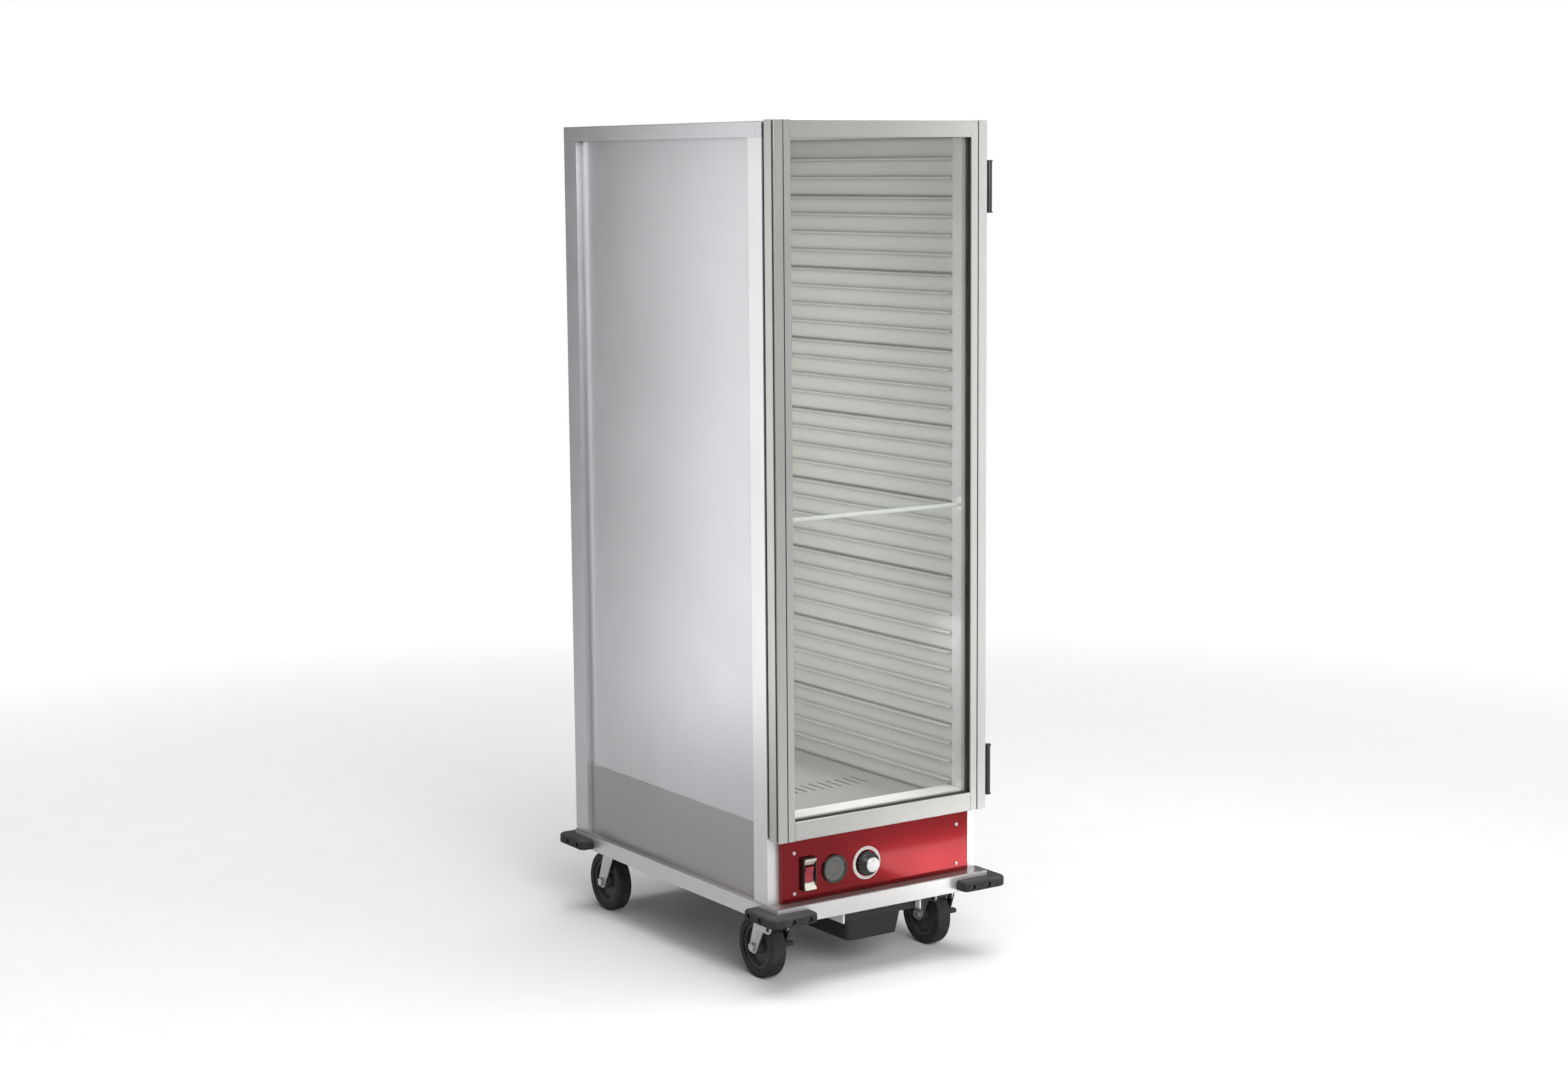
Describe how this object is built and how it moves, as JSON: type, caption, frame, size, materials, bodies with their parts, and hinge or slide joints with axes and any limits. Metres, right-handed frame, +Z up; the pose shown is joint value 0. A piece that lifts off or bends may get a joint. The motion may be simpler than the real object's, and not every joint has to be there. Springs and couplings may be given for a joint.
{
  "type": "mobile food holding cabinet",
  "caption": "Tall heated holding cabinet on swivel casters with a full-height glazed door, slide-lined walls, a red control panel and a pull-out drip pan.",
  "frame": {"origin": "on the floor under the middle of the base frame", "axes": "+Z up, the door faces -Y, the door hinges are on the +X side"},
  "size_m": [0.572, 0.847, 1.679],
  "materials": {
    "satin_aluminium": "satin, faint vertical grain",
    "bright_aluminium": "bright satin",
    "door_aluminium": "satin anodised",
    "stainless": "brushed along its length",
    "zinc": "zinc plated",
    "dark_steel": "heat darkened",
    "red_enamel": "gloss",
    "black_enamel": "semi gloss",
    "bumper_rubber": "matte, finely pebbled",
    "seal_rubber": "matte",
    "tread_rubber": "matte",
    "hub_plastic": "moulded, matte",
    "black_plastic": "fine moulded texture",
    "pan_plastic": "moulded, semi matte",
    "cream_plastic": "gloss",
    "red_plastic": "translucent red look, gloss",
    "white_print": "printed ring",
    "dial_grey": "printed face",
    "needle_paint": "matte",
    "bright_cap": "polished",
    "pane": "clear",
    "cord_rubber": "matte"
  },
  "bodies": {
    "cabinet": {"base_rails": "stainless", "base_deck": "stainless", "corner_bumpers": "bumper_rubber", "bumper_screws": "black_enamel", "front_posts": "satin_aluminium", "rear_posts": "satin_aluminium", "top_rails": "satin_aluminium", "top_panel": "satin_aluminium", "ceiling_panel": "satin_aluminium", "side_panels": "satin_aluminium", "lower_side_panels": "stainless", "back_panel": "satin_aluminium", "back_liner": "satin_aluminium", "slide_planks_left": "satin_aluminium", "slide_planks_right": "satin_aluminium", "floor_pan": "stainless", "front_sill": "bright_aluminium", "stabilizer_bar": "bright_aluminium", "control_panel": "red_enamel", "panel_screws": "zinc", "switch_housing": "black_plastic", "switch_guards": "cream_plastic", "thermometer_case": "black_enamel", "thermometer_dial": "dial_grey", "thermometer_lens": "pane", "dial_plate": "white_print", "thermostat_body": "black_plastic", "heating_element": "dark_steel", "fan_motor": "dark_steel", "power_cord": "cord_rubber", "pan_rails": "bright_aluminium", "caster_plates": "zinc", "caster_bolts": "zinc", "cabinet_hinge_leaves": "black_enamel"},
    "door": {"door_frame": "door_aluminium", "door_window": "pane", "glazing_gasket": "seal_rubber", "door_gasket": "seal_rubber", "door_hinge_leaves": "black_enamel"},
    "rocker": {"switch_rocker": "red_plastic"},
    "needle": {"thermometer_needle": "needle_paint"},
    "knob": {"thermostat_knob": "black_plastic", "knob_cap": "bright_cap"},
    "impeller": {"fan_impeller": "satin_aluminium"},
    "pan": {"drip_pan": "pan_plastic"},
    "swivel_front_left": {"fork_front_left": "zinc"},
    "wheel_front_left": {"hub_front_left": "hub_plastic", "tyre_front_left": "tread_rubber"},
    "brake_front_left": {"brake_front_left": "black_enamel"},
    "swivel_front_right": {"fork_front_right": "zinc"},
    "wheel_front_right": {"hub_front_right": "hub_plastic", "tyre_front_right": "tread_rubber"},
    "brake_front_right": {"brake_front_right": "black_enamel"},
    "swivel_rear_left": {"fork_rear_left": "zinc"},
    "wheel_rear_left": {"hub_rear_left": "hub_plastic", "tyre_rear_left": "tread_rubber"},
    "swivel_rear_right": {"fork_rear_right": "zinc"},
    "wheel_rear_right": {"hub_rear_right": "hub_plastic", "tyre_rear_right": "tread_rubber"}
  },
  "joints": [
    {"name": "door_hinge", "type": "hinge", "parent": "cabinet", "child": "door", "pos_m": [0.262, -0.386, 0.95], "axis": [0, 0, 1], "range_deg": [0, 180]},
    {"name": "rocker_tilt", "type": "hinge", "parent": "cabinet", "child": "rocker", "pos_m": [-0.166, -0.365, 0.227], "axis": [1, 0, 0], "range_deg": [-16, 0]},
    {"name": "needle_turn", "type": "hinge", "parent": "cabinet", "child": "needle", "pos_m": [-0.103, -0.3665, 0.227], "axis": [0, 1, 0], "range_deg": [0, 270]},
    {"name": "knob_turn", "type": "hinge", "parent": "cabinet", "child": "knob", "pos_m": [-0.025, -0.37, 0.227], "axis": [0, 1, 0], "range_deg": [0, 270]},
    {"name": "impeller_spin", "type": "hinge", "parent": "cabinet", "child": "impeller", "pos_m": [0, 0.23, 0.277], "axis": [0, 0, 1], "continuous": true},
    {"name": "pan_slide", "type": "slide", "parent": "cabinet", "child": "pan", "axis": [0, -1, 0], "range_m": [0, 0.2]},
    {"name": "swivel_front_left_turn", "type": "hinge", "parent": "cabinet", "child": "swivel_front_left", "pos_m": [-0.203, -0.298, 0.14], "axis": [0, 0, 1], "continuous": true},
    {"name": "wheel_front_left_spin", "type": "hinge", "parent": "swivel_front_left", "child": "wheel_front_left", "pos_m": [-0.203, -0.26, 0.0635], "axis": [1, 0, 0], "continuous": true},
    {"name": "brake_front_left_press", "type": "hinge", "parent": "swivel_front_left", "child": "brake_front_left", "pos_m": [-0.203, -0.312, 0.11], "axis": [-1, 0, 0], "range_deg": [0, 20]},
    {"name": "swivel_front_right_turn", "type": "hinge", "parent": "cabinet", "child": "swivel_front_right", "pos_m": [0.203, -0.298, 0.14], "axis": [0, 0, 1], "continuous": true},
    {"name": "wheel_front_right_spin", "type": "hinge", "parent": "swivel_front_right", "child": "wheel_front_right", "pos_m": [0.203, -0.26, 0.0635], "axis": [1, 0, 0], "continuous": true},
    {"name": "brake_front_right_press", "type": "hinge", "parent": "swivel_front_right", "child": "brake_front_right", "pos_m": [0.203, -0.312, 0.11], "axis": [-1, 0, 0], "range_deg": [0, 20]},
    {"name": "swivel_rear_left_turn", "type": "hinge", "parent": "cabinet", "child": "swivel_rear_left", "pos_m": [-0.203, 0.298, 0.14], "axis": [0, 0, 1], "continuous": true},
    {"name": "wheel_rear_left_spin", "type": "hinge", "parent": "swivel_rear_left", "child": "wheel_rear_left", "pos_m": [-0.203, 0.336, 0.0635], "axis": [1, 0, 0], "continuous": true},
    {"name": "swivel_rear_right_turn", "type": "hinge", "parent": "cabinet", "child": "swivel_rear_right", "pos_m": [0.203, 0.298, 0.14], "axis": [0, 0, 1], "continuous": true},
    {"name": "wheel_rear_right_spin", "type": "hinge", "parent": "swivel_rear_right", "child": "wheel_rear_right", "pos_m": [0.203, 0.336, 0.0635], "axis": [1, 0, 0], "continuous": true}
  ]
}
